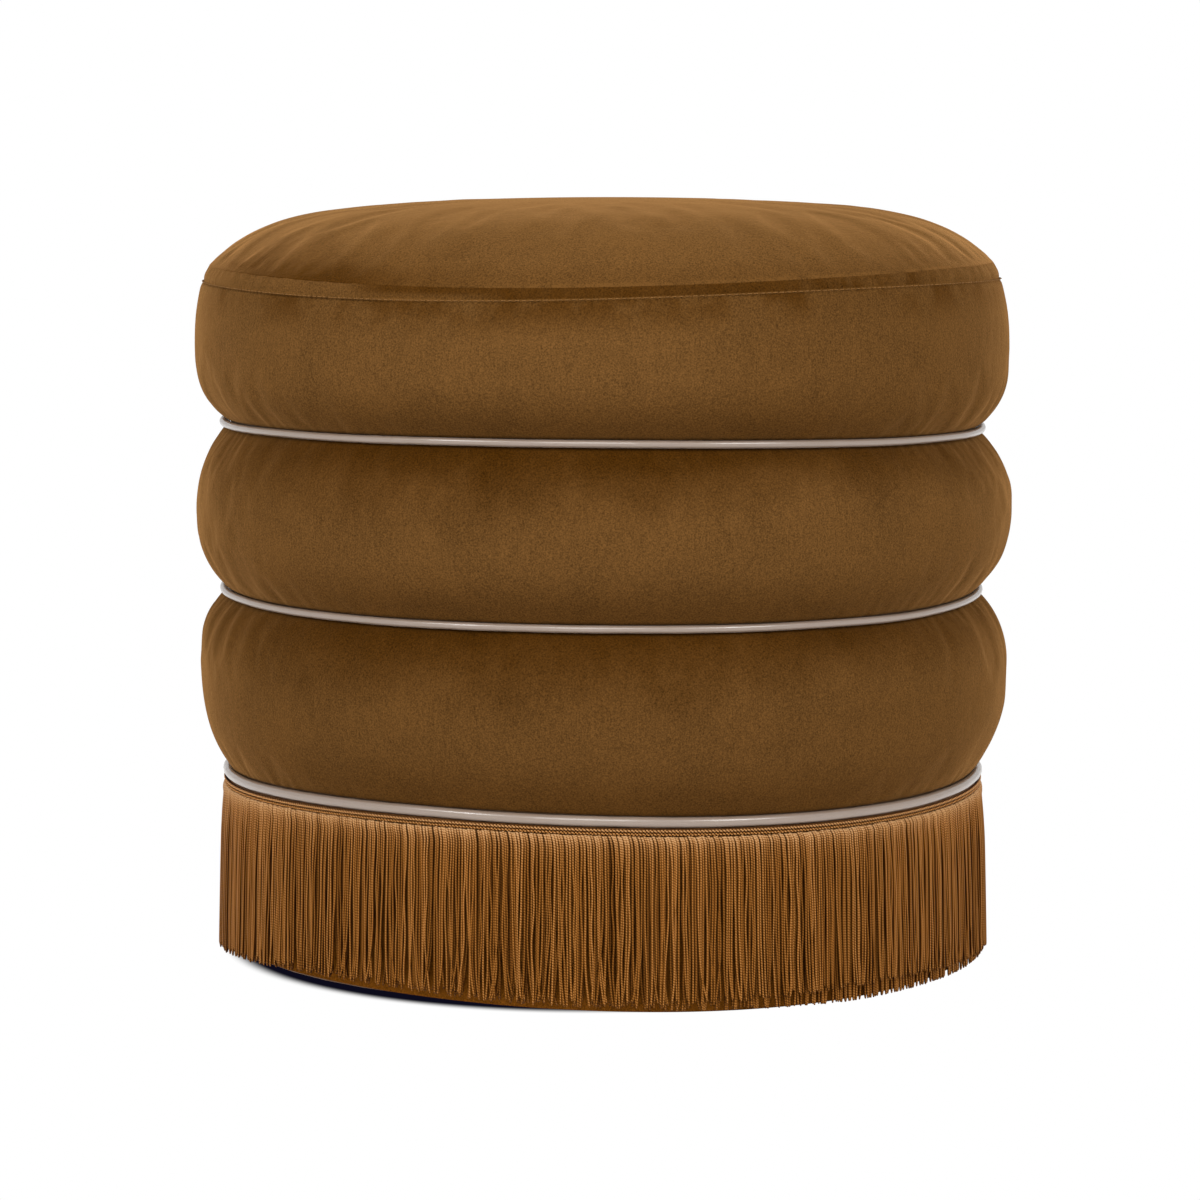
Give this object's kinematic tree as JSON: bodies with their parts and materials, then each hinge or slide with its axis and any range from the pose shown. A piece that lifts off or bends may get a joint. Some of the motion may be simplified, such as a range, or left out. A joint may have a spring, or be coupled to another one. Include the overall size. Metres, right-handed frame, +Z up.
{
  "type": "ottoman",
  "caption": "Round upholstered ottoman with a crowned seat, stacked velvet rolls, leather piping in the grooves and a long strand fringe round the plinth.",
  "frame": {"origin": "on the floor, under the middle of the ottoman", "axes": "+Z up through the middle of the seat, along the axis that the rolls are turned about; the pictured front faces -Y, and the barrel skin's butt joint is at the back, +Y"},
  "size_m": [0.5, 0.5, 0.46],
  "materials": {
    "velvet": "matte",
    "piping_leather": "satin",
    "fringe_yarn": "satin",
    "firm_foam": "matte",
    "soft_foam": "matte",
    "plywood": "matte",
    "softwood": "matte",
    "hardboard": "matte",
    "dust_cloth": "matte",
    "glide_plastic": "satin"
  },
  "bodies": {
    "root": {"top_panel": "velvet", "band_upper": "velvet", "band_middle": "velvet", "band_lower": "velvet", "plinth_cover": "velvet", "piping_upper": "piping_leather", "piping_middle": "piping_leather", "piping_lower": "piping_leather", "fringe": "fringe_yarn", "seat_foam": "firm_foam", "roll_foam_middle": "firm_foam", "roll_foam_lower": "firm_foam", "crown_foam": "soft_foam", "seat_board": "plywood", "former_middle": "plywood", "former_lower": "plywood", "base_board": "plywood", "post_1": "softwood", "post_2": "softwood", "post_3": "softwood", "post_4": "softwood", "post_5": "softwood", "post_6": "softwood", "barrel_skin": "hardboard", "dust_cover": "dust_cloth", "glide_1": "glide_plastic", "glide_2": "glide_plastic", "glide_3": "glide_plastic", "glide_4": "glide_plastic", "glide_5": "glide_plastic", "glide_6": "glide_plastic"}
  },
  "joints": []
}
